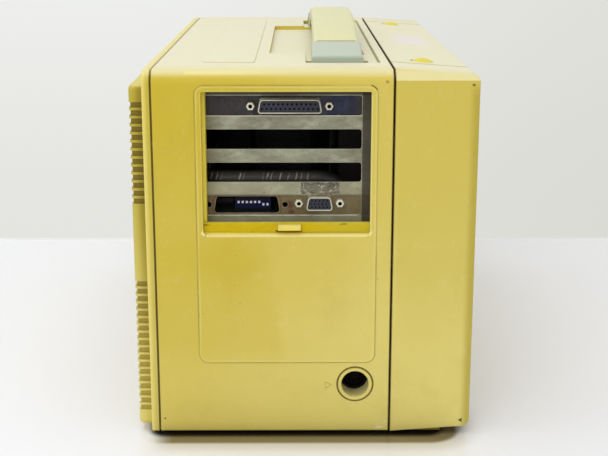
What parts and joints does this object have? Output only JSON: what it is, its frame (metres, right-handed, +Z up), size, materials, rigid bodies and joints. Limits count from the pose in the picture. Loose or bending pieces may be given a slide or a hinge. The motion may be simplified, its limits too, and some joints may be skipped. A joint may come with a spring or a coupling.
{
  "type": "luggable computer",
  "caption": "Suitcase-style luggable computer with carry handle, sliding port door over card slots, ribbed rear vents and a keyboard that closes the front.",
  "frame": {"origin": "middle of the footprint, at table height under the rubber feet", "axes": "+X along the length towards the disk drive end, +Y from the keyboard to the rear vents, +Z up"},
  "size_m": [0.3904, 0.2066, 0.249],
  "materials": {
    "casing_plastic": "satin, aged yellow",
    "vent_plastic": "satin, olive",
    "door_plastic": "satin, deep yellow",
    "handle_plastic": "soft matt",
    "cap_plastic": "satin grey-green",
    "key_plastic": "fine matt",
    "dark_plastic": "matt black",
    "insert_plastic": "satin dark",
    "switch_plastic": "semi-gloss blue",
    "white_plastic": "matt white",
    "loom_sleeve": "creased sleeve",
    "board": "solder mask",
    "galvanised": "mottled zinc",
    "steel": "brushed",
    "blued_steel": "dark plated",
    "screw_steel": "plated",
    "cast": "cast",
    "foot_rubber": "matt",
    "screen_glass": "polished"
  },
  "bodies": {
    "casing": {"main_casing": "casing_plastic", "base_plate": "casing_plastic", "rubber_feet": "foot_rubber", "casing_screws": "screw_steel", "rear_panel": "casing_plastic", "rear_vent_block": "vent_plastic", "chassis_frame": "steel", "slot_frame": "galvanised", "socket_plate": "galvanised", "parallel_bracket": "blued_steel", "parallel_connector": "screw_steel", "card_boards": "board", "video_bracket": "galvanised", "video_connector": "screw_steel", "card_screws": "screw_steel", "board_chips": "dark_plastic", "dip_switch_block": "switch_plastic", "riser_board": "board", "main_board": "board", "power_supply": "steel", "power_inlet": "dark_plastic", "fan_frame": "dark_plastic", "floppy_drive": "cast", "floppy_bezel": "dark_plastic", "hard_drive": "cast", "wiring_loom": "loom_sleeve", "socket_shroud": "casing_plastic", "keyboard_socket": "insert_plastic", "door_guide_frame": "casing_plastic", "front_bezel": "casing_plastic", "display_glass": "screen_glass", "display_panel": "dark_plastic", "speaker": "dark_plastic", "control_board": "board", "latch_strikes": "steel", "handle_guides": "steel"},
    "port_door": {"port_door": "door_plastic"},
    "keyboard": {"keyboard_shell": "casing_plastic", "keyboard_back": "casing_plastic", "keyboard_fixings": "steel", "keyboard_deck": "casing_plastic", "keyboard_switch_plate": "dark_plastic"},
    "main_keys": {"keycaps_main": "key_plastic"},
    "function_keys": {"keycaps_function": "key_plastic"},
    "space_bar_key": {"space_bar": "key_plastic"},
    "latch_left": {"latch_button_left": "casing_plastic"},
    "latch_right": {"latch_button_right": "casing_plastic"},
    "foot_left": {"keyboard_foot_left": "casing_plastic"},
    "foot_right": {"keyboard_foot_right": "casing_plastic"},
    "handle": {"handle_grip": "handle_plastic", "handle_end_caps": "cap_plastic", "handle_legs": "steel"},
    "fan": {"fan_rotor": "dark_plastic"},
    "rocker": {"power_rocker": "dark_plastic"},
    "drive_lever": {"floppy_lever": "dark_plastic"},
    "brightness": {"brightness_knob": "dark_plastic"},
    "contrast": {"contrast_knob": "dark_plastic"},
    "sliders_up": {"dip_sliders_up": "white_plastic"},
    "sliders_down": {"dip_sliders_down": "white_plastic"}
  },
  "joints": [
    {"name": "port_door_slide", "type": "slide", "parent": "casing", "child": "port_door", "axis": [0, 0, 1], "range_m": [0, 0.08]},
    {"name": "keyboard_pull_off", "type": "slide", "parent": "casing", "child": "keyboard", "axis": [0, -1, 0], "range_m": [0, 0.12]},
    {"name": "main_keys_press", "type": "slide", "parent": "keyboard", "child": "main_keys", "axis": [0, -1, 0], "range_m": [0, 0.0035], "stiffness_N_per_m": 2000},
    {"name": "function_keys_press", "type": "slide", "parent": "keyboard", "child": "function_keys", "axis": [0, -1, 0], "range_m": [0, 0.0035], "stiffness_N_per_m": 400},
    {"name": "space_bar_press", "type": "slide", "parent": "keyboard", "child": "space_bar_key", "axis": [0, -1, 0], "range_m": [0, 0.0035], "stiffness_N_per_m": 250},
    {"name": "latch_left_press", "type": "slide", "parent": "keyboard", "child": "latch_left", "axis": [0, 0, -1], "range_m": [0, 0.002], "stiffness_N_per_m": 800},
    {"name": "latch_right_press", "type": "slide", "parent": "keyboard", "child": "latch_right", "axis": [0, 0, -1], "range_m": [0, 0.002], "stiffness_N_per_m": 800},
    {"name": "foot_left_flip", "type": "hinge", "parent": "keyboard", "child": "foot_left", "pos_m": [-0.12, -0.1002, 0.2053], "axis": [-1, 0, 0], "range_deg": [0, 80]},
    {"name": "foot_right_flip", "type": "hinge", "parent": "keyboard", "child": "foot_right", "pos_m": [0.12, -0.1002, 0.2053], "axis": [-1, 0, 0], "range_deg": [0, 80]},
    {"name": "handle_lift", "type": "slide", "parent": "casing", "child": "handle", "axis": [0, 0, 1], "range_m": [0, 0.018]},
    {"name": "fan_spin", "type": "hinge", "parent": "casing", "child": "fan", "pos_m": [-0.034, 0.0775, 0.054], "axis": [0, 1, 0], "continuous": true},
    {"name": "rocker_tip", "type": "hinge", "parent": "casing", "child": "rocker", "pos_m": [0.1875, 0.014, 0.04], "axis": [0, 0, -1], "range_deg": [0, 16]},
    {"name": "drive_lever_turn", "type": "hinge", "parent": "casing", "child": "drive_lever", "pos_m": [0.189, 0.023, 0.1462], "axis": [1, 0, 0], "range_deg": [0, 90]},
    {"name": "brightness_turn", "type": "hinge", "parent": "casing", "child": "brightness", "pos_m": [-0.15, -0.05, 0.118], "axis": [0, 1, 0], "range_deg": [-140, 140]},
    {"name": "contrast_turn", "type": "hinge", "parent": "casing", "child": "contrast", "pos_m": [-0.116, -0.05, 0.118], "axis": [0, 1, 0], "range_deg": [-140, 140]},
    {"name": "sliders_up_throw", "type": "slide", "parent": "casing", "child": "sliders_up", "axis": [0, 0, -1], "range_m": [0, 0.0015]},
    {"name": "sliders_down_throw", "type": "slide", "parent": "casing", "child": "sliders_down", "axis": [0, 0, 1], "range_m": [0, 0.0015]}
  ]
}
